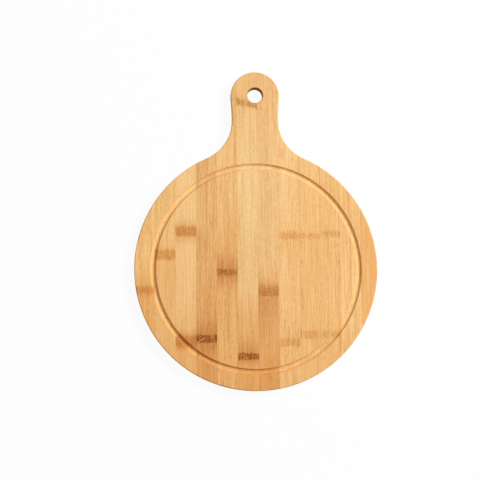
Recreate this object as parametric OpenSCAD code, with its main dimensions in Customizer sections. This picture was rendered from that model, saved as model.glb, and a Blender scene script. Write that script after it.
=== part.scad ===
// Round pizza serving board of glued bamboo with a short handle and a hanging hole.
// Three plies of flat bamboo strips are glued face to face and edge to edge. The strips of the
// top and bottom plies run along the handle, and those of the core run across it. The glued
// blank is then sawn to its outline, drilled, grooved and rounded along its edges, so every
// strip carries its own share of the outline, the groove and the hole.
// The origin is the centre of the round part, on the underside. +Y points along the handle,
// and +Z points up.

/* [Round part] */
// Diameter of the round part
disc_d = 250; // [210:1:320]
// Radius of the rounding along the top and bottom edges of the board
edge_r = 1.2; // [0.4:0.1:3]

/* [Handle] */
// How far the handle reaches beyond the round part
handle_l = 80; // [70:1:120]
// Width of the handle at its waist
waist_w = 47.8; // [36:0.1:64]
// How much each side of the handle widens from its waist to its round end
handle_flare = 1.3; // [0.5:0.1:4]
// Radius of the neck on each side, where the handle runs into the round part
neck_r = 44; // [25:1:60]

/* [Hanging hole] */
// Diameter of the hanging hole
hole_d = 16; // [8:0.5:26]
// Width of the wood between the hanging hole and the end of the handle
hole_wall = 16.5; // [8:0.1:24]
// Radius of the rounding at both mouths of the hanging hole
hole_edge_r = 0.8; // [0.3:0.1:2]

/* [Groove] */
// Width of the flat rim outside the groove
rim_w = 16.1; // [8:0.1:30]
// Width of the groove at the top face
groove_w = 6.4; // [5:0.1:12]
// Depth of the groove
groove_depth = 2.8; // [0.8:0.1:3]

/* [Bamboo strips] */
// Width of a bamboo strip
strip_w = 21.2; // [17:0.1:34]
// Thickness of a bamboo strip, which is the thickness of a ply
ply_t = 4; // [3:0.1:7]

/* [Hidden] */
// The glued blank is wider and longer than the board by less than one strip. These are the
// shares of that spare width that lie before the board's first edge.
top_spare_share = 0.05;
bottom_spare_share = 0.7;
core_spare_share = 0.8;

// Plies, counted from the underside
bottom_ply = 0;
core_ply = 1;
top_ply = 2;
ply_count = 3;
board_t = ply_count * ply_t;

// How far cutters and blanks run past the faces that they cut
overrun = 3;

// Outline. The round part, the two necks, the two sides of the handle and its end are arcs, each
// tangent to the next, so two arcs meet on the line that joins their centres. A side's radius
// is a whole number of fine steps, and the end's centre follows from it.
fine_step = 0.01;
disc_r = disc_d / 2;
half_waist = waist_w / 2;
end_r = half_waist + handle_flare;
neck_x = half_waist + neck_r;
waist_y = sqrt(pow(disc_r + neck_r, 2) - pow(neck_x, 2));
side_rise = disc_r + handle_l - end_r - waist_y;
true_side_r = (pow(half_waist, 2) + pow(side_rise, 2) - pow(end_r, 2)) / (2 * handle_flare);
side_r = fine_step * round(true_side_r / fine_step);
side_x = half_waist + side_r;
end_y = waist_y + sqrt(pow(side_r + end_r, 2) - pow(side_x, 2));

// Wedges of the board between the arcs' centres: from the round part's centre to those of the
// necks, from the end's centre to those of the sides, and all that lies below that one's sides
neck_wedge = [[0, 0], [neck_x, waist_y], [-neck_x, waist_y]];
side_wedge = [[0, end_y], [-side_x, waist_y], [side_x, waist_y]];
below_end = [[0, end_y], [-side_x, waist_y], [-side_x, 0], [side_x, 0], [side_x, waist_y]];

// Hanging hole: its centre, on the middle line of the handle
hole_y = disc_r + handle_l - hole_wall - hole_d / 2;

// Groove: a circular arc in section
groove_mid_r = disc_r - rim_w - groove_w / 2;
groove_arc_r = (pow(groove_w / 2, 2) + pow(groove_depth, 2)) / (2 * groove_depth);

// Strips that cover the board across and along
strips_across = ceil(disc_d / strip_w);
strips_along = ceil((disc_d + handle_l) / strip_w);

// Shades of bamboo, as they follow each other from left to right on the top face
pale = [0.94, 0.78, 0.56];
honey = [0.92, 0.72, 0.47];
tan = [0.84, 0.63, 0.40];
warm = [0.90, 0.64, 0.38];
top_shades = [honey, honey, pale, tan, tan, pale, honey, honey, honey, honey, honey, warm];
bottom_shades = [honey, tan, honey, pale, warm, honey, tan, pale, honey, warm, honey, tan];
core_shades = [honey, tan, pale, honey, warm];

$fn = 180;

function numbered(name, i) = str(name, i < 10 ? "_0" : "_", i);
function shade_of(shades, i) = shades[(i - 1) % len(shades)];

// Moves a shape by whole millimetres and then by the rest, which keeps an arc's centre exact
module at(x, y) {
    translate([floor(x), floor(y)]) translate([x - floor(x), y - floor(y)]) children();
}

// A shape and its mirror image on the other side of the handle
module both_sides() {
    children();
    mirror([1, 0, 0]) children();
}

// Half section of a round plate of radius r, with its edges rounded
module plate_section(r) {
    difference() {
        square([r, board_t]);
        for (z = [0, board_t - edge_r])
            translate([r - edge_r, z]) square(edge_r);
    }
    for (side = [0, 1])
        translate([r - edge_r, side * board_t]) mirror([0, side])
            intersection() {
                translate([0, edge_r]) circle(edge_r);
                square(edge_r);
            }
}

// Half section of a cutter of radius r that leaves a hole, or a hollow side, with both of its
// edges rounded by edge
module cutter_section(r, edge) {
    translate([0, -overrun]) square([r, board_t + 2 * overrun]);
    for (side = [0, 1])
        translate([0, side * board_t]) mirror([0, side])
            difference() {
                translate([r - edge, -overrun]) square([2 * edge, overrun + edge]);
                translate([r + edge, edge]) circle(edge);
            }
}

// Round plate whose seam points along the given direction, in degrees
module round_plate(r, seam) {
    rotate([0, 0, seam - 180]) rotate_extrude() plate_section(r);
}

// Cutter of a hole or of a hollow side, with its seam away from the board
module round_cutter(r, edge) {
    rotate([0, 0, 180]) rotate_extrude() cutter_section(r, edge);
}

// Straight cutter through the board with the given outline
module through_cutter(points) {
    translate([0, 0, -overrun]) linear_extrude(board_t + 2 * overrun) polygon(points);
}

// Round part of the board, all but the wedge between the necks
module round_form() {
    difference() {
        round_plate(disc_r, 90);
        through_cutter(neck_wedge);
    }
}

// Wedge of the board with a hollow neck on each side
module neck_form() {
    difference() {
        linear_extrude(board_t) polygon(neck_wedge);
        both_sides() at(neck_x, waist_y) round_cutter(neck_r, edge_r);
    }
}

// Handle from its waist to its round end, with long hollow sides
module side_form() {
    difference() {
        linear_extrude(board_t) polygon(side_wedge);
        both_sides() at(side_x, waist_y) round_cutter(side_r, edge_r);
    }
}

// Round end of the handle
module end_form() {
    difference() {
        at(0, end_y) round_plate(end_r, -90);
        through_cutter(below_end);
    }
}

// The whole board as one shape, before the groove and the hole
module board_form() {
    round_form();
    neck_form();
    side_form();
    end_form();
}

// Ring cutter of the groove
module groove_cutter() {
    rotate_extrude()
        translate([groove_mid_r, board_t - groove_depth + groove_arc_r]) circle(groove_arc_r);
}

// What sawing, drilling, grooving and rounding leave of a strip of the glued blank
module machined() {
    difference() {
        intersection() {
            children();
            board_form();
        }
        groove_cutter();
        at(0, hole_y) round_cutter(hole_d / 2, hole_edge_r);
    }
}

// Place where the blank starts, before the edge of the board, with the given share of the spare
function blank_start(edge, length, count, share) = edge - share * (count * strip_w - length);

// Strip i of a face ply, counted from the left
module face_strip(i, ply, share) {
    x = blank_start(-disc_r, disc_d, strips_across, share) + (i - 1) * strip_w;
    translate([x, -disc_r - overrun, ply * ply_t])
        cube([strip_w, disc_d + handle_l + 2 * overrun, ply_t]);
}

// Strip i of the core, counted from the round part's free edge towards the handle
module cross_strip(i) {
    y = blank_start(-disc_r, disc_d + handle_l, strips_along, core_spare_share) + (i - 1) * strip_w;
    translate([-disc_r - overrun, y, core_ply * ply_t])
        cube([disc_d + 2 * overrun, strip_w, ply_t]);
}

module top_strip(i) {
    color(shade_of(top_shades, i)) machined() face_strip(i, top_ply, top_spare_share);
}

module core_strip(i) {
    color(shade_of(core_shades, i)) machined() cross_strip(i);
}

module bottom_strip(i) {
    color(shade_of(bottom_shades, i)) machined() face_strip(i, bottom_ply, bottom_spare_share);
}

for (i = [1 : strips_across]) {
    top_strip(i);
    bottom_strip(i);
}
for (i = [1 : strips_along]) {
    core_strip(i);
}
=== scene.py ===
"""A round pizza serving board of glued bamboo strips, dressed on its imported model.

The board is three plies of bamboo strips with a ring groove, a short flared handle and a hanging
hole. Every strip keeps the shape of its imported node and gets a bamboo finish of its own: fibres
that run along the strip, its own shade, and the brown marks of the nodes that crossed the cane.
The finishes are worked out in the board's own space, so that a face, a wall and the groove cut
through one and the same fibres. Places are in millimetres from the centre of the round part.
"""
from __future__ import annotations

import logging
import math
from dataclasses import dataclass, field
from enum import Enum

import bpy
from mathutils import Matrix, Vector

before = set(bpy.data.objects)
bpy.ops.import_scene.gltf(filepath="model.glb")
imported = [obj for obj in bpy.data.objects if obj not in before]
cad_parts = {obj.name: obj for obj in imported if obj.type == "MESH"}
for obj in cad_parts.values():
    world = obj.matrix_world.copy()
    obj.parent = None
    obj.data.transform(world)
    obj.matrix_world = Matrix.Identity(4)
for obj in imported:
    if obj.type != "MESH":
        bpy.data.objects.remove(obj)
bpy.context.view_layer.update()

logging.basicConfig(level=logging.INFO, format="%(message)s")
log = logging.getLogger("serving_board")

MM = 0.001
NOISE_MEAN = 0.5
WHITE = (1.0, 1.0, 1.0)
Triple = tuple[float, float, float]

# The curve between a screen's values and linear light: a straight toe, then a power
SCREEN_FULL = 255
TOE_END, TOE_SLOPE = 0.04045, 12.92
CURVE_OFFSET, CURVE_POWER = 0.055, 2.4


def linear(colour: Triple) -> Triple:
    """Turn a colour of 0 to 255, as a screen shows it, into linear light.

    Args:
        colour: Red, green and blue as a screen shows them.

    Returns:
        The same colour in linear light, from 0 to 1.
    """
    shares = [channel / SCREEN_FULL for channel in colour]
    return tuple(share / TOE_SLOPE if share <= TOE_END
                 else ((share + CURVE_OFFSET) / (1 + CURVE_OFFSET)) ** CURVE_POWER
                 for share in shares)


class Wire:
    """A shader socket with the operators of arithmetic, each of which adds a node."""

    def __init__(self, tree: FinishTree, socket: bpy.types.NodeSocket) -> None:
        """Keep the tree and the output that the wire starts from."""
        self.tree = tree
        self.socket = socket

    def _math(self, operation: str, *operands: Number) -> Wire:
        """Return the result of a Math node, whose operands are in order."""
        return self.tree.add("ShaderNodeMath", {"operation": operation}, dict(enumerate(operands)))

    def __add__(self, other: Number) -> Wire:
        """Return this plus other."""
        return self._math("ADD", self, other)

    def __radd__(self, other: Number) -> Wire:
        """Return other plus this."""
        return self._math("ADD", other, self)

    def __sub__(self, other: Number) -> Wire:
        """Return this minus other."""
        return self._math("SUBTRACT", self, other)

    def __rsub__(self, other: Number) -> Wire:
        """Return other minus this."""
        return self._math("SUBTRACT", other, self)

    def __mul__(self, other: Number) -> Wire:
        """Return this times other."""
        return self._math("MULTIPLY", self, other)

    def __rmul__(self, other: Number) -> Wire:
        """Return other times this."""
        return self._math("MULTIPLY", other, self)

    def __truediv__(self, other: Number) -> Wire:
        """Return this divided by other."""
        return self._math("DIVIDE", self, other)

    def __rtruediv__(self, other: Number) -> Wire:
        """Return other divided by this."""
        return self._math("DIVIDE", other, self)

    def __pow__(self, other: Number) -> Wire:
        """Return this to the power of other."""
        return self._math("POWER", self, other)

    def __rpow__(self, other: Number) -> Wire:
        """Return other to the power of this."""
        return self._math("POWER", other, self)

    def __abs__(self) -> Wire:
        """Return this without its sign."""
        return self._math("ABSOLUTE", self)

    def least(self, other: Number) -> Wire:
        """Return the lesser of this and other."""
        return self._math("MINIMUM", self, other)

    def most(self, other: Number) -> Wire:
        """Return the greater of this and other."""
        return self._math("MAXIMUM", self, other)

    def rise(self, start: Number, end: Number) -> Wire:
        """Return a smooth rise from 0 at start to 1 at end, whichever of them is greater."""
        return self.tree.add("ShaderNodeMapRange", {"interpolation_type": "SMOOTHSTEP"},
                             {"Value": self, "From Min": start, "From Max": end})


Number = Wire | float | int


@dataclass(frozen=True)
class Ripple:
    """A layer of noise.

    Attributes:
        scale: How many ripples there are in a millimetre across, in depth and along.
        step: What the layer adds to its strip's seed.
        detail: How many finer layers the noise has.
        roughness: How strong each finer layer is.
    """

    scale: Triple
    step: int
    detail: float = 2.0
    roughness: float = 0.5


class FinishTree:
    """The node tree of a material or of the sky, with short ways to add its nodes."""

    # For each axis, how far a seed moves the noise and after how much it starts again
    shifts = ((13.7, 97), (29.3, 89), (7.9, 83))

    def __init__(self, owner: bpy.types.Material | bpy.types.World) -> None:
        """Start with an empty tree.

        Args:
            owner: The material or the world that the tree belongs to.
        """
        self.owner = owner
        owner.use_nodes = True
        self.nodes = owner.node_tree.nodes
        self.links = owner.node_tree.links
        self.nodes.clear()

    def add(self, kind: str, settings: dict | None = None, values: dict | None = None,
            out: int | str = 0) -> Wire:
        """Add a node of any kind.

        Args:
            kind: The node's type.
            settings: Its settings, set before its sockets. The stops of a ramp are pairs of a
                place and a colour.
            values: Its sockets' values or wires, by name or number.
            out: The output to return, by name or number.

        Returns:
            The wire from that output.
        """
        node = self.nodes.new(kind)
        for key, value in (settings or {}).items():
            if key == "stops":
                ramp = node.color_ramp.elements
                ramp.remove(ramp[1])
                ramp[0].position = value[0][0]
                for place, _ in value[1:]:
                    ramp.new(place)
                for stop, (_, colour) in zip(ramp, value):
                    stop.color = (*colour, 1.0)
            else:
                setattr(node, key, value)
        for key, value in (values or {}).items():
            socket = node.inputs[key]
            if isinstance(value, Wire):
                self.links.new(value.socket, socket)
            elif socket.type == "RGBA" and len(value) == 3:
                socket.default_value = (*value, 1.0)
            else:
                socket.default_value = value
        return Wire(self, node.outputs[out])

    def end(self, shader: Wire, kind: str = "ShaderNodeOutputMaterial") -> None:
        """Send the finished shader to an output node of the given type."""
        output = self.nodes.new(kind)
        self.links.new(shader.socket, output.inputs["Surface"])

    def split(self, vector: Wire) -> tuple[Wire, Wire, Wire]:
        """Split a vector or a colour.

        Args:
            vector: The vector or the colour.

        Returns:
            Its three values.
        """
        first = self.add("ShaderNodeSeparateXYZ", None, {0: vector})
        outputs = first.socket.node.outputs
        return first, Wire(self, outputs[1]), Wire(self, outputs[2])

    def noise(self, point: Wire, ripple: Ripple, seed: int, out: str = "Fac") -> Wire:
        """Add a layer of noise.

        Args:
            point: The point in the grain's frame, in millimetres.
            ripple: The layer.
            seed: The strip's seed, which moves the noise to a place of its own.
            out: Fac for one value, or Color for three.

        Returns:
            The noise, about 0.5 in the mean.
        """
        shift = tuple((seed + ripple.step) * step % span for step, span in self.shifts)
        moved = self.add("ShaderNodeVectorMath", {"operation": "MULTIPLY_ADD"},
                         {0: point, 1: ripple.scale, 2: shift})
        return self.add("ShaderNodeTexNoise", {"noise_dimensions": "3D"},
                        {"Vector": moved, "Scale": 1.0, "Detail": ripple.detail,
                         "Roughness": ripple.roughness}, out)

    def tint(self, share: Number, colour: Wire, tint: Triple) -> Wire:
        """Return the colour multiplied by the tint, which is taken by the share of 0 to 1."""
        return self._mix("MULTIPLY", share, colour, tint)

    def cover(self, share: Number, colour: Wire, above: Triple) -> Wire:
        """Return the colour with another laid over it, by the share of 0 to 1."""
        return self._mix("MIX", share, colour, above)

    def _mix(self, how: str, share: Number, below: Wire, above: Triple) -> Wire:
        """Mix two colours with a Mix node, whose colours are its inputs 6 and 7 and output 2."""
        return self.add("ShaderNodeMix", {"data_type": "RGBA", "blend_type": how},
                        {"Factor": share, 6: below, 7: above}, 2)


class Grain(Enum):
    """Which way the fibres of a strip run."""

    LENGTHWISE = "along the handle"
    CROSSWISE = "across the handle"


@dataclass(frozen=True)
class Board:
    """The sizes that all strips share, in millimetres.

    Attributes:
        disc_r: The radius of the round part.
        handle_l: How far the handle reaches beyond the round part.
        ply_t: The thickness of a ply.
        strip_w: The width of a strip.
        rim_w: The width of the flat rim outside the groove.
        groove_w: The width of the groove.
        hole_r: The radius of the hanging hole.
        hole_edge_r: The radius of the rounding at its two mouths.
        hole_wall: The width of the wood between the hole and the end of the handle.
    """

    disc_r: float = 125.0
    handle_l: float = 80.0
    ply_t: float = 4.0
    strip_w: float = 21.2
    rim_w: float = 16.1
    groove_w: float = 6.4
    hole_r: float = 8.0
    hole_edge_r: float = 0.8
    hole_wall: float = 16.5

    def ply_joints(self) -> tuple[float, float]:
        """Return how high the two joints between the plies lie."""
        return self.ply_t, 2 * self.ply_t

    def hole_place(self, grain: Grain) -> tuple[float, float]:
        """Return how far across and along the grain the middle of the hanging hole lies."""
        place = 0.0, self.disc_r + self.handle_l - self.hole_wall - self.hole_r
        return place if grain is Grain.LENGTHWISE else place[::-1]

    def groove_edges(self) -> tuple[float, float]:
        """Return how far the groove's inner and outer edges lie from the centre."""
        outer = self.disc_r - self.rim_w
        return outer - self.groove_w, outer

    def blank_start(self, grain: Grain, spare_share: float) -> float:
        """Work out where the glued blank of a ply starts.

        Args:
            grain: Which way the fibres of the ply run.
            spare_share: The share of the blank's spare width that lies before the board's edge.

        Returns:
            The place across the fibres.
        """
        length = 2 * self.disc_r + (self.handle_l if grain is Grain.CROSSWISE else 0.0)
        spare = math.ceil(length / self.strip_w) * self.strip_w - length
        return -self.disc_r - spare_share * spare


BOARD = Board()


class Shade(Enum):
    """The shades that bamboo strips are sorted into, as a screen shows the plain wood."""

    STRAW = (242, 199, 137)
    PALE = (241, 195, 132)
    HONEY = (240, 189, 122)
    TAN = (225, 173, 108)
    WARM = (239, 180, 110)


@dataclass(frozen=True)
class NodeMark:
    """The brown mark where a node of the cane crosses a strip.

    Attributes:
        low: Where the mark starts, along the strip.
        high: Where it ends.
        orange: How strongly it is coloured, from 0 to 1.
        brown: How dark its speckles are, from 0 to 1.
        halo: How strong the tan halo round it is, from 0 to 1.
        halo_up: How far the halo reaches beyond its end.
        halo_down: How far the halo reaches before its start.
        soft_low: Over what length its start fades in.
        soft_high: Over what length its end fades out.
        fray: How ragged its two ends are, in millimetres.
        gaps: How far it breaks up across the strip, from 0 to 1.
        tilt: How much higher it lies on the right of the strip than on its left.
    """

    low: float
    high: float
    orange: float
    brown: float
    halo: float
    halo_up: float
    halo_down: float
    soft_low: float
    soft_high: float
    fray: float = 1.0
    gaps: float = 0.0
    tilt: float = 0.0


@dataclass(frozen=True)
class Fleck:
    """A short streak or spot in a strip.

    Attributes:
        across: Its middle, across the strip.
        half_width: Half its width.
        low: Where it starts, along the strip.
        high: Where it ends.
        strength: How strong it is, from 0 to 1.
        colour: Its colour, as a screen shows it.
    """

    across: float
    half_width: float
    low: float
    high: float
    strength: float
    colour: Triple = (188, 116, 52)


@dataclass(frozen=True)
class BambooFinish:
    """Sanded and lightly oiled bamboo, as one strip shows it.

    Attributes:
        shade: The strip's shade.
        grain: Which way its fibres run.
        seed: Makes its figure differ from the other strips'.
        near: Where the strip starts, across its fibres.
        far: Where the strip ends, across its fibres.
        lightness: Multiplies its shade.
        figure: How strong its streaks are.
        slant: How far the speckles of its marks lean, to the right for each millimetre up.
        tans: How tan it is along its length, as pairs of a place and a share, upwards.
        marks: Its node marks.
        flecks: Its short streaks and spots.
    """

    shade: Shade
    grain: Grain
    seed: int
    near: float
    far: float
    lightness: float = 1.0
    figure: float = 1.0
    slant: float = 0.0
    tans: tuple[tuple[float, float], ...] = ()
    marks: tuple[NodeMark, ...] = ()
    flecks: tuple[Fleck, ...] = ()

    # The wood's layers of noise: long fibres, shorter ones, broad bands and dark dashes, and how
    # strong each of them is
    fibres = Ripple((1.45, 1.45, 0.024), 0, 2.5, 0.6)
    breaks = Ripple((1.50, 1.50, 0.24), 1, 1.0)
    bands = Ripple((0.22, 0.22, 0.006), 2)
    dashes = Ripple((2.6, 2.6, 0.11), 3, 1.0)
    fibre_weight, break_weight, band_weight = 1.7, 0.95, 0.65
    dash_rise, dash_share = (0.60, 0.72), 0.5

    # The layers that fray the marks, make the fibres wander from side to side and break up the
    # marks across a strip
    ends = Ripple((0.8, 0.8, 0.03), 4, 2.0, 0.6)
    wanders = Ripple((0.05, 0.05, 0.014), 6, 1.0)
    wander_mm = 3.0
    breadths = Ripple((0.16, 0.16, 0.16), 0, 1.0)

    # The layer of speckles: its ripples in a millimetre across and along, and how many fewer
    # there are along at a slant of 1
    speckles_across, speckles_along, speckle_stretch = 1.05, 0.55, 0.25
    speckle_step, speckle_detail = 5, 1.5

    # The plain wood's darkest and lightest fibres, as shares of its shade's green. The powers
    # make red change less than green, and blue more.
    dark_share, light_share = 0.70, 1.20
    channel_powers = (0.63, 1.0, 1.76)
    tone_stops = (0.1, 0.5, 0.9)

    # Tints that multiply the wood's colour
    dash_tint = (0.90, 0.80, 0.66)
    tan_tint = (0.86, 0.64, 0.44)
    halo_tint = (0.72, 0.55, 0.38)
    orange_tint = (0.84, 0.57, 0.30)
    brown_tint = (0.44, 0.35, 0.20)
    glue_tint = (0.74, 0.62, 0.50)
    # The hole's tint is painted shade: it darkens the hole's wall for the shade that falls in the
    # hole
    hole_shade_tint = (0.56, 0.40, 0.13)
    groove_tint = (1.00, 1.03, 1.05)

    # How far the changes of tan fray, and the ends of a mark whose fray is 1, and how far the
    # run of tans reaches beyond the board
    tan_fray_mm, end_fray = 30.0, 4.0
    tan_spare_mm = 5.0

    # A mark's halo: how steeply it fades, how far it reaches into the mark, and how ragged and
    # speckled it is
    halo_power, halo_overlap = 1.4, 1.0
    halo_fray, halo_speckle = 2.0, 0.6

    # A mark's body and its brown dots: how ragged and speckled they are, and between which
    # values of the noise the body, the dots and the gaps rise
    stray_share, body_rise = 0.9, (0.15, 0.85)
    body_speckle = 1.8
    dot_lift, dot_rise = 0.34, (0.72, 0.90)
    gap_rise = (0.42, 0.62)

    # Flecks fade over these shares of their half width and of their length
    fleck_core, fleck_fade = 0.3, 0.15

    # Half the width of a glue line, the share of it that is full, and how much it shows
    glue_half, glue_core, glue_share = 0.12, 0.3, 0.7

    # How far the groove's tint fades on each side of its edges
    groove_blur = 0.3

    # Gloss and relief
    gloss = 0.18
    roughness, fibre_roughness, drilled_roughness = 0.50, 0.25, 0.5
    fibre_relief, break_relief, dash_relief = 0.5, 0.4, 0.6
    relief_share, relief_mm = 0.5, 0.03

    def material(self, name: str) -> bpy.types.Material:
        """Build the strip's material.

        Args:
            name: The material's name.

        Returns:
            The material.
        """
        tree = FinishTree(bpy.data.materials.new(name))
        across, depth, along, point = self._grain_frame(tree)
        fine = tree.noise(point, self.fibres, self.seed)
        short = tree.noise(point, self.breaks, self.seed)
        band = tree.noise(point, self.bands, self.seed)
        tone = (NOISE_MEAN + (fine - NOISE_MEAN) * (self.fibre_weight * self.figure)
                + (short - NOISE_MEAN) * (self.break_weight * self.figure)
                + (band - NOISE_MEAN) * (self.band_weight * self.figure))
        colour = tree.add("ShaderNodeValToRGB", {"stops": self._tones()}, {0: tone})
        dash = tree.noise(point, self.dashes, self.seed).rise(*self.dash_rise)
        colour = tree.tint(dash * self.dash_share, colour, self.dash_tint)
        frays = tree.split(tree.noise(point, self.ends, self.seed, "Color"))
        if self.tans:
            colour = self._add_tans(tree, colour, along, frays[2])
        speckles = self._speckles(tree, across, depth, along)
        for mark in self.marks:
            colour = self._add_mark(tree, colour, mark, (across, along), frays, speckles)
        for fleck in self.flecks:
            colour = self._add_fleck(tree, colour, fleck, (across, along))
        glue = self._glue(across, depth)
        colour = tree.tint(glue * self.glue_share, colour, self.glue_tint)
        # Painted shade: the wall of the hanging hole is darkened for the shade that falls in the
        # hole
        shaded_hole_wall = self._shaded_hole_wall(across, along)
        colour = tree.tint(shaded_hole_wall, colour, self.hole_shade_tint)
        colour = tree.tint(self._grooved(across, depth, along), colour, self.groove_tint)
        height = (fine * self.fibre_relief + short * self.break_relief - dash * self.dash_relief
                  - glue)
        bump = tree.add("ShaderNodeBump", None,
                        {"Strength": self.relief_share, "Distance": self.relief_mm * MM,
                         "Height": height})
        rough = (self.roughness + (fine - NOISE_MEAN) * self.fibre_roughness
                 + shaded_hole_wall * self.drilled_roughness)
        tree.end(tree.add("ShaderNodeBsdfPrincipled", None,
                          {"Base Color": colour, "Roughness": rough, "Normal": bump,
                           "Specular IOR Level": self.gloss}))
        return tree.owner

    def _grain_frame(self, tree: FinishTree) -> tuple[Wire, Wire, Wire, Wire]:
        """Work out where a point lies in the strip.

        Args:
            tree: The material's tree.

        Returns:
            How far it lies across, in depth and along the grain, in millimetres, and these three
            as one point whose fibres wander a little from side to side.
        """
        place = tree.add("ShaderNodeVectorMath", {"operation": "SCALE"},
                         {0: tree.add("ShaderNodeTexCoord", out="Object"), "Scale": 1 / MM})
        x, y, depth = tree.split(place)
        across, along = (x, y) if self.grain is Grain.LENGTHWISE else (y, x)
        straight = tree.add("ShaderNodeCombineXYZ", None, {0: across, 1: depth, 2: along})
        wander = tree.noise(straight, self.wanders, self.seed)
        point = tree.add("ShaderNodeCombineXYZ", None,
                         {0: across + (wander - NOISE_MEAN) * self.wander_mm, 1: depth, 2: along})
        return across, depth, along, point

    def _tones(self) -> list[tuple[float, Triple]]:
        """Work out the tones of the plain wood.

        Returns:
            The stops of their ramp, from the dark fibres to the light ones.
        """
        plain = tuple(channel * self.lightness for channel in linear(self.shade.value))
        dark, light = (tuple(channel * share ** power
                             for channel, power in zip(plain, self.channel_powers))
                       for share in (self.dark_share, self.light_share))
        return list(zip(self.tone_stops, (dark, plain, light)))

    def _add_tans(self, tree: FinishTree, colour: Wire, along: Wire, fray: Wire) -> Wire:
        """Tan the wood by the shares that the strip has along its length.

        Args:
            tree: The material's tree.
            colour: The plain wood.
            along: How far the point lies along the grain.
            fray: The noise that frays the changes of tan.

        Returns:
            The tanned wood.
        """
        lowest = -BOARD.disc_r - self.tan_spare_mm
        span = 2 * BOARD.disc_r + BOARD.handle_l + 2 * self.tan_spare_mm
        stops = [((place - lowest) / span, (share,) * 3) for place, share in self.tans]
        run = (along + (fray - NOISE_MEAN) * self.tan_fray_mm - lowest) / span
        share = tree.add("ShaderNodeValToRGB", {"stops": stops}, {0: run})
        return tree.tint(share, colour, self.tan_tint)

    def _speckles(self, tree: FinishTree, across: Wire, depth: Wire, along: Wire) -> Wire:
        """Make the noise whose peaks are the speckles of the marks.

        Args:
            tree: The material's tree.
            across: How far the point lies across the grain.
            depth: How deep it lies.
            along: How far it lies along the grain.

        Returns:
            The noise.
        """
        leaning = tree.add("ShaderNodeCombineXYZ", None,
                           {0: across - along * self.slant, 1: depth, 2: along})
        stretched = self.speckles_along - self.speckle_stretch * abs(self.slant)
        ripple = Ripple((self.speckles_across, self.speckles_across, stretched),
                        self.speckle_step, self.speckle_detail)
        return tree.noise(leaning, ripple, self.seed)

    def _add_mark(self, tree: FinishTree, colour: Wire, mark: NodeMark,
                  place: tuple[Wire, Wire], frays: tuple[Wire, Wire, Wire],
                  speckles: Wire) -> Wire:
        """Lay one node mark over the wood.

        Args:
            tree: The material's tree.
            colour: The colour below the mark.
            mark: The mark.
            place: Where the point lies across and along the grain.
            frays: The noises that fray the mark's start, its end and its halo.
            speckles: The noise whose peaks are the mark's speckles.

        Returns:
            The colour with the mark on it.
        """
        across, along = place
        if mark.tilt:
            middle = (self.near + self.far) / 2
            along = along - (across - middle) * (mark.tilt / (self.far - self.near))
        low, high = ((fray - NOISE_MEAN) * (self.end_fray * mark.fray) + end
                     for fray, end in zip(frays, (mark.low, mark.high)))
        core = (along.rise(low - mark.soft_low, low + mark.soft_low)
                * along.rise(high + mark.soft_high, high - mark.soft_high))
        if mark.gaps:
            breadth = tree.noise(across, self.breadths, self.seed + int(mark.high))
            core = core * (1.0 - breadth.rise(*self.gap_rise) * mark.gaps)
        upper = along.rise(mark.high + mark.halo_up, mark.high - self.halo_overlap)
        lower = along.rise(mark.low - mark.halo_down, mark.low + self.halo_overlap)
        halo = (upper ** self.halo_power).least(lower ** self.halo_power) * (
            1.0 + (NOISE_MEAN - frays[2]) * self.halo_fray
            + (speckles - NOISE_MEAN) * self.halo_speckle)
        colour = tree.tint(halo * mark.halo, colour, self.halo_tint)
        stray = (frays[1] - NOISE_MEAN) * self.stray_share * (1.0 - core)
        body = (core + stray).rise(*self.body_rise)
        speckled = body * (1.0 + (speckles - NOISE_MEAN) * self.body_speckle) * mark.orange
        colour = tree.tint(speckled, colour, self.orange_tint)
        dots = (speckles + core * self.dot_lift).rise(*self.dot_rise)
        return tree.tint(dots * mark.brown, colour, self.brown_tint)

    def _add_fleck(self, tree: FinishTree, colour: Wire, fleck: Fleck,
                   place: tuple[Wire, Wire]) -> Wire:
        """Lay one fleck over the wood.

        Args:
            tree: The material's tree.
            colour: The colour below the fleck.
            fleck: The fleck.
            place: Where the point lies across and along the grain.

        Returns:
            The colour with the fleck on it.
        """
        across, along = place
        side = abs(across - fleck.across).rise(fleck.half_width, fleck.half_width * self.fleck_core)
        fade = self.fleck_fade * (fleck.high - fleck.low)
        run = (along.rise(fleck.low - fade, fleck.low + fade)
               * along.rise(fleck.high + fade, fleck.high - fade))
        return tree.cover(side * run * fleck.strength, colour, linear(fleck.colour))

    def _glue(self, across: Wire, depth: Wire) -> Wire:
        """Find the glue lines along the strip's two sides and between the plies.

        Args:
            across: How far the point lies across the grain.
            depth: How deep it lies.

        Returns:
            1 on a glue line and 0 away from it.
        """
        edge = abs(across - self.near).least(abs(across - self.far))
        for joint in BOARD.ply_joints():
            edge = edge.least(abs(depth - joint))
        return edge.rise(self.glue_half, self.glue_half * self.glue_core)

    def _shaded_hole_wall(self, across: Wire, along: Wire) -> Wire:
        """Find the wall and the mouths of the hanging hole, where shade is painted.

        Args:
            across: How far the point lies across the grain.
            along: How far it lies along the grain.

        Returns:
            1 on the wall, 0 outside the mouths.
        """
        here, there = BOARD.hole_place(self.grain)
        reach = ((across - here) ** 2 + (along - there) ** 2) ** 0.5
        return reach.rise(BOARD.hole_r + BOARD.hole_edge_r, BOARD.hole_r)

    def _grooved(self, across: Wire, depth: Wire, along: Wire) -> Wire:
        """Find the ring groove in the serving face.

        Args:
            across: How far the point lies across the grain.
            depth: How deep it lies.
            along: How far it lies along the grain.

        Returns:
            1 in the groove and 0 away from it.
        """
        ring = (across ** 2 + along ** 2) ** 0.5
        inner, outer = BOARD.groove_edges()
        blur = self.groove_blur
        return (ring.rise(inner - blur, inner + blur) * ring.rise(outer + blur, outer - blur)
                * depth.rise(*BOARD.ply_joints()))


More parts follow.
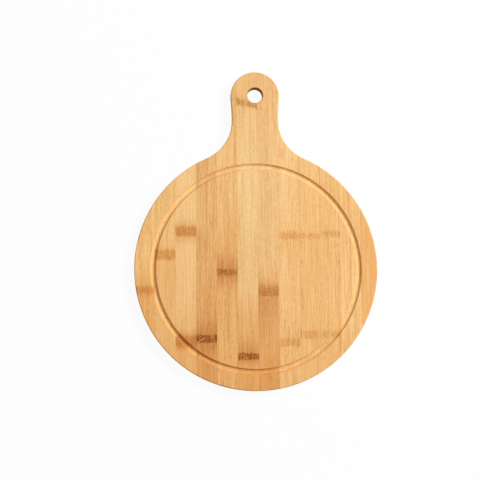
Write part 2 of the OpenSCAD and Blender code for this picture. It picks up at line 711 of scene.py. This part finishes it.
@dataclass
class Ply:
    """The strips of one ply, which lie side by side.

    Attributes:
        name: What the names of its nodes start with.
        spare_share: The share of its blank's spare width that lies before the board's edge.
        seed: Where its figures start.
        shades: The strips' shades, in order.
        lightness: What multiplies each strip's shade.
        tans: How tan the strips are along their length, by number.
        marks: The node marks of the strips that have any, by number.
        flecks: The flecks of the strips that have any, by number.
        figures: How strong the streaks of the strips are, by number.
        slants: How far the speckles of the strips' marks lean, by number.
        grain: Which way the fibres run.
        plain_figure: How strong the streaks of the other strips are.
        seed_step: How far the seeds of neighbouring strips lie apart.
    """

    name: str
    spare_share: float
    seed: int
    shades: tuple[Shade, ...]
    lightness: tuple[float, ...]
    tans: dict[int, tuple[tuple[float, float], ...]] = field(default_factory=dict)
    marks: dict[int, tuple[NodeMark, ...]] = field(default_factory=dict)
    flecks: dict[int, tuple[Fleck, ...]] = field(default_factory=dict)
    figures: dict[int, float] = field(default_factory=dict)
    slants: dict[int, float] = field(default_factory=dict)
    grain: Grain = Grain.LENGTHWISE
    plain_figure: float = 0.9
    seed_step: int = 11

    def finish(self, number: int) -> BambooFinish:
        """Work out the finish of one strip.

        Args:
            number: The strip's number, from 1.

        Returns:
            Its finish.
        """
        start = BOARD.blank_start(self.grain, self.spare_share)
        near = start + (number - 1) * BOARD.strip_w
        return BambooFinish(shade=self.shades[(number - 1) % len(self.shades)],
                            grain=self.grain, seed=self.seed + self.seed_step * number,
                            near=near, far=near + BOARD.strip_w,
                            lightness=self.lightness[(number - 1) % len(self.lightness)],
                            figure=self.figures.get(number, self.plain_figure),
                            slant=self.slants.get(number, 0.0), tans=self.tans.get(number, ()),
                            marks=self.marks.get(number, ()), flecks=self.flecks.get(number, ()))

    def dress(self) -> None:
        """Give every strip of the ply its finish, by the two digits that end its name."""
        strips = sorted(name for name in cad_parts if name.startswith(self.name + "_"))
        for name in strips:
            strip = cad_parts[name]
            material = self.finish(int(name[-2:])).material("bamboo_" + name)
            for slot in range(len(strip.data.materials)):
                strip.data.materials[slot] = material
            log.info("%s: %d faces, %s", name, len(strip.data.polygons), material.name)


def serving_face() -> Ply:
    """Describe the top ply, whose shades and marks follow the photograph.

    Returns:
        The ply.
    """
    straw, pale, honey, tan, warm = Shade.STRAW, Shade.PALE, Shade.HONEY, Shade.TAN, Shade.WARM
    return Ply(
        name="top_strip", spare_share=0.05, seed=100,
        shades=(honey, honey, pale, tan, honey, straw, pale, pale, honey, honey, pale, warm),
        lightness=(1.03, 1.0, 1.04, 1.06, 0.99, 1.01, 0.985, 1.05, 1.02, 0.995, 1.05, 0.98),
        tans={
            1: ((-34, 0.6), (-10, 0.33), (14, 0.0)),
            2: ((-70, 0.24), (-44, 0.17), (0, 0.28), (20, 0.0)),
            3: ((-82, 0.7), (-40, 0.2), (40, 0.0)),
            4: ((-60, 0.68), (-46, 0.52), (0, 0.27), (45, 0.0)),
            5: ((-94, 0.53), (-82, 0.44), (34, 0.45), (50, 0.3), (74, 0.02)),
            6: ((-108, 1.0), (-84, 0.82), (-42, 0.66), (-20, 0.2), (25, 0.2), (50, 0.0), (98, 0.0),
                (190, 0.4)),
            7: ((-94, 0.95), (-66, 0.75), (-30, 0.72), (12, 0.1), (32, 0.2), (74, 0.2), (98, 0.03),
                (170, 0.3)),
            8: ((-70, 0.38), (-46, 0.15), (-5, 0.15), (24, 0.42), (50, 0.1)),
            9: ((30, 0.2), (50, 0.0)),
            10: ((-60, 0.15), (-22, 0.15), (50, 0.08), (74, 0.0)),
            11: ((-74, 0.38), (-56, 0.16), (-40, 0.25), (-14, 0.14), (30, 0.34)),
        },
        marks={
            1: (
                NodeMark(low=-26, high=-18, orange=0.5, brown=0.35, halo=0.2, halo_up=6,
                         halo_down=8, soft_low=4, soft_high=3, fray=1.5),
            ),
            2: (
                NodeMark(low=9.5, high=20, orange=0.58, brown=0.2, halo=0.2, halo_up=10,
                         halo_down=4, soft_low=1, soft_high=2.5, fray=2.5),
            ),
            3: (
                NodeMark(low=33, high=44, orange=0.74, brown=0.3, halo=0.45, halo_up=13,
                         halo_down=15, soft_low=3, soft_high=4, fray=2.5),
                NodeMark(low=-80.5, high=-67.5, orange=0.72, brown=0.35, halo=0.35, halo_up=12,
                         halo_down=8, soft_low=4, soft_high=4, fray=2),
            ),
            4: (
                NodeMark(low=-76, high=-67.2, orange=0.55, brown=1.0, halo=0.58, halo_up=26,
                         halo_down=26, soft_low=1.8, soft_high=1.5, fray=1.2),
            ),
            5: (
                NodeMark(low=-7.2, high=0, orange=0.42, brown=0.7, halo=0.75, halo_up=27,
                         halo_down=22, soft_low=2.5, soft_high=2, fray=1.8),
            ),
            6: (
                NodeMark(low=-93.4, high=-86.3, orange=0.85, brown=0.95, halo=0.6, halo_up=24,
                         halo_down=10, soft_low=2, soft_high=1.5, fray=1.2),
                NodeMark(low=168.5, high=175.5, orange=0.42, brown=0.6, halo=0.2, halo_up=7,
                         halo_down=5, soft_low=1.5, soft_high=2, fray=1.5, gaps=0.3, tilt=-4),
            ),
            7: (
                NodeMark(low=-28.5, high=-17.5, orange=0.38, brown=0.45, halo=0.4, halo_up=10,
                         halo_down=60, soft_low=0.8, soft_high=5),
            ),
            8: (
                NodeMark(low=30, high=38.5, orange=0.42, brown=0.2, halo=0.05, halo_up=5,
                         halo_down=3, soft_low=1, soft_high=2, fray=1.8, gaps=0.45),
                NodeMark(low=-80, high=-71, orange=0.38, brown=0.24, halo=0.05, halo_up=5,
                         halo_down=3, soft_low=1.5, soft_high=2, fray=1.8, gaps=0.45),
            ),
            9: (
                NodeMark(low=30.5, high=37, orange=0.3, brown=0.24, halo=0.0, halo_up=4,
                         halo_down=3, soft_low=1, soft_high=2, fray=1.8, gaps=0.45),
                NodeMark(low=-72, high=-63.5, orange=0.32, brown=0.26, halo=0.0, halo_up=4,
                         halo_down=3, soft_low=1, soft_high=2, fray=1.5, gaps=0.4),
            ),
            10: (
                NodeMark(low=32.5, high=39.5, orange=0.28, brown=0.32, halo=0.05, halo_up=4,
                         halo_down=3, soft_low=1, soft_high=2, fray=1.8, gaps=0.6),
                NodeMark(low=-71, high=-64, orange=0.2, brown=0.35, halo=0.05, halo_up=4,
                         halo_down=3, soft_low=1, soft_high=2, fray=1.5, gaps=0.7),
            ),
        },
        flecks={
            8: (
                Fleck(across=27, half_width=4, low=114, high=125, strength=0.35,
                      colour=(226, 158, 88)),
                Fleck(across=45.6, half_width=0.5, low=-20, high=-5, strength=0.75),
            ),
            9: (
                Fleck(across=47, half_width=1.8, low=4.5, high=9, strength=0.5,
                      colour=(212, 140, 64)),
            ),
            10: (
                Fleck(across=65.6, half_width=0.5, low=101, high=106, strength=0.9,
                      colour=(96, 54, 24)),
            ),
        },
        figures={3: 0.6, 4: 1.1, 5: 1.15, 6: 0.8},
        slants={4: 0.9, 6: 0.6},
    )


def underside() -> Ply:
    """Describe the bottom ply, which isn't in the photograph.

    Returns:
        The ply.
    """
    pale, honey, tan, warm = Shade.PALE, Shade.HONEY, Shade.TAN, Shade.WARM
    return Ply(
        name="bottom_strip", spare_share=0.7, seed=400,
        shades=(honey, tan, honey, pale, warm, honey, tan, pale, honey, warm, honey, tan),
        lightness=(0.98, 1.0, 0.96, 1.0, 0.97),
        marks={
            2: (
                NodeMark(low=22, high=30, orange=0.5, brown=0.35, halo=0.3, halo_up=14,
                         halo_down=8, soft_low=2, soft_high=3, fray=2),
            ),
            3: (
                NodeMark(low=-62, high=-54, orange=0.6, brown=0.5, halo=0.45, halo_up=18,
                         halo_down=12, soft_low=2.5, soft_high=2.5, fray=2),
            ),
            5: (
                NodeMark(low=64, high=71, orange=0.5, brown=0.8, halo=0.55, halo_up=24,
                         halo_down=18, soft_low=2, soft_high=2, fray=1.6),
            ),
            6: (
                NodeMark(low=-24, high=-16, orange=0.35, brown=0.3, halo=0.15, halo_up=6,
                         halo_down=5, soft_low=1.5, soft_high=2, fray=2, gaps=0.5),
                NodeMark(low=160, high=167, orange=0.4, brown=0.45, halo=0.2, halo_up=7,
                         halo_down=5, soft_low=1.5, soft_high=2, fray=1.5, gaps=0.3, tilt=3),
            ),
            8: (
                NodeMark(low=-90, high=-82.5, orange=0.7, brown=0.9, halo=0.55, halo_up=24,
                         halo_down=16, soft_low=2, soft_high=1.5, fray=1.4),
            ),
            9: (
                NodeMark(low=8, high=16, orange=0.45, brown=0.35, halo=0.25, halo_up=10,
                         halo_down=7, soft_low=2, soft_high=2.5, fray=2),
            ),
            11: (
                NodeMark(low=-30, high=-22, orange=0.4, brown=0.4, halo=0.3, halo_up=12,
                         halo_down=8, soft_low=2, soft_high=3, fray=2),
            ),
        },
        slants={5: -0.7, 8: 0.6},
    )


def core() -> Ply:
    """Describe the core, whose strips run across the board and show only on its walls.

    Returns:
        The ply.
    """
    pale, honey, tan, warm = Shade.PALE, Shade.HONEY, Shade.TAN, Shade.WARM
    return Ply(
        name="core_strip", spare_share=0.8, seed=700,
        shades=(honey, tan, pale, honey, warm),
        lightness=(0.97, 0.94, 0.99),
        grain=Grain.CROSSWISE,
    )


@dataclass
class Studio:
    """A plain pale table, a white sky, a soft panel and a camera above the board.

    Attributes:
        table_half: Half the side of the table top, in metres.
        table_colour: The colour of the table where it lights the board, in linear light.
        table_white: How far plain white covers that colour where the table is seen.
        key_azimuth: Where the soft panel stands, in degrees from the right towards the handle.
        key_height: How high it stands, in degrees.
        key_distance: How far it stands from the board, in metres.
        key_size: The side of the square panel, in metres.
        key_share: The share of the light on a level surface that comes from it.
        camera_place: Where the camera stands, in millimetres.
        camera_aim: Where it looks, in millimetres.
        camera_up: The direction that is up in its picture.
        lens: Its focal length, in millimetres.
        sensor: The width of its sensor, in millimetres.
        clip_near: The least distance that it sees, in metres.
        clip_far: The greatest distance that it sees, in metres.
    """

    table_half: float = 4.0
    table_colour: Triple = (0.86, 0.86, 0.86)
    table_white: float = 0.94
    key_azimuth: float = 28.0
    key_height: float = 47.0
    key_distance: float = 3.5
    key_size: float = 1.0
    key_share: float = 0.70
    camera_place: Triple = (-93.866, -108.435, 1416.921)
    camera_aim: Triple = (-16.579, 29.516, 12.0)
    camera_up: Triple = (0.001500, 0.99518, 0.09795)
    lens: float = 103.24
    sensor: float = 36.0
    clip_near: float = 0.01
    clip_far: float = 50.0

    def build(self) -> None:
        """Set up the table, the sky, the soft panel and the camera."""
        self.add_table()
        self.add_sky()
        self.add_panel()
        self.add_camera()
        bpy.context.scene.view_settings.view_transform = "Standard"

    def seen(self, tree: FinishTree) -> Wire:
        """Find where the camera, a reflection or clear glass looks.

        Args:
            tree: The tree to add to.

        Returns:
            1 there, and 0 where light is gathered.
        """
        camera = tree.add("ShaderNodeLightPath", out="Is Camera Ray")
        outputs = camera.socket.node.outputs
        return camera.most(Wire(tree, outputs["Is Glossy Ray"])).most(
            Wire(tree, outputs["Is Transmission Ray"]))

    def add_table(self) -> None:
        """Lay the pale table top under the board."""
        half = self.table_half
        mesh = bpy.data.meshes.new("table_top")
        mesh.from_pydata([(-half, -half, 0), (half, -half, 0), (half, half, 0), (-half, half, 0)],
                         [], [(0, 1, 2, 3)])
        tree = FinishTree(bpy.data.materials.new("table_white"))
        paint = tree.add("ShaderNodeBsdfDiffuse", None, {"Color": self.table_colour})
        white = tree.add("ShaderNodeEmission", None, {"Color": WHITE, "Strength": 1.0})
        tree.end(tree.add("ShaderNodeMixShader", None,
                          {0: self.seen(tree) * self.table_white, 1: paint, 2: white}))
        mesh.materials.append(tree.owner)
        table = bpy.data.objects.new("table_top", mesh)
        bpy.context.scene.collection.objects.link(table)

    def add_sky(self) -> None:
        """Let the sky give the rest of the light, and look white where it is seen."""
        tree = FinishTree(bpy.data.worlds.new("sky"))
        strength = self.seen(tree) * self.key_share + (1.0 - self.key_share)
        tree.end(tree.add("ShaderNodeBackground", None, {"Color": WHITE, "Strength": strength}),
                 "ShaderNodeOutputWorld")
        bpy.context.scene.world = tree.owner

    def add_panel(self) -> None:
        """Hang the soft panel on one side, as strong as its share of the light asks."""
        height, azimuth = math.radians(self.key_height), math.radians(self.key_azimuth)
        towards = Vector((math.cos(height) * math.cos(azimuth),
                          math.cos(height) * math.sin(azimuth), math.sin(height)))
        panel = bpy.data.lights.new("soft_panel", "AREA")
        panel.size = self.key_size
        # A sky of strength 1 lights a level surface with pi, of which the panel gives its share
        panel.energy = self.key_share * math.pi ** 2 * self.key_distance ** 2 / math.sin(height)
        lamp = bpy.data.objects.new("soft_panel", panel)
        lamp.location = towards * self.key_distance
        lamp.rotation_euler = towards.to_track_quat("Z", "Y").to_euler()
        bpy.context.scene.collection.objects.link(lamp)

    def add_camera(self) -> None:
        """Stand the camera nearly above the board, as in the photograph."""
        place, aim = Vector(self.camera_place) * MM, Vector(self.camera_aim) * MM
        back = (place - aim).normalized()
        right = Vector(self.camera_up).cross(back).normalized()
        turn = Matrix((right, back.cross(right), back)).transposed().to_4x4()
        optics = bpy.data.cameras.new("photo_camera")
        optics.lens = self.lens
        optics.sensor_width = self.sensor
        optics.clip_start, optics.clip_end = self.clip_near, self.clip_far
        camera = bpy.data.objects.new("photo_camera", optics)
        camera.matrix_world = Matrix.Translation(place) @ turn
        bpy.context.scene.collection.objects.link(camera)
        bpy.context.scene.camera = camera


def main() -> None:
    """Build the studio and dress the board."""
    Studio().build()
    for ply in (serving_face(), core(), underside()):
        ply.dress()


if __name__ == "__main__":
    main()
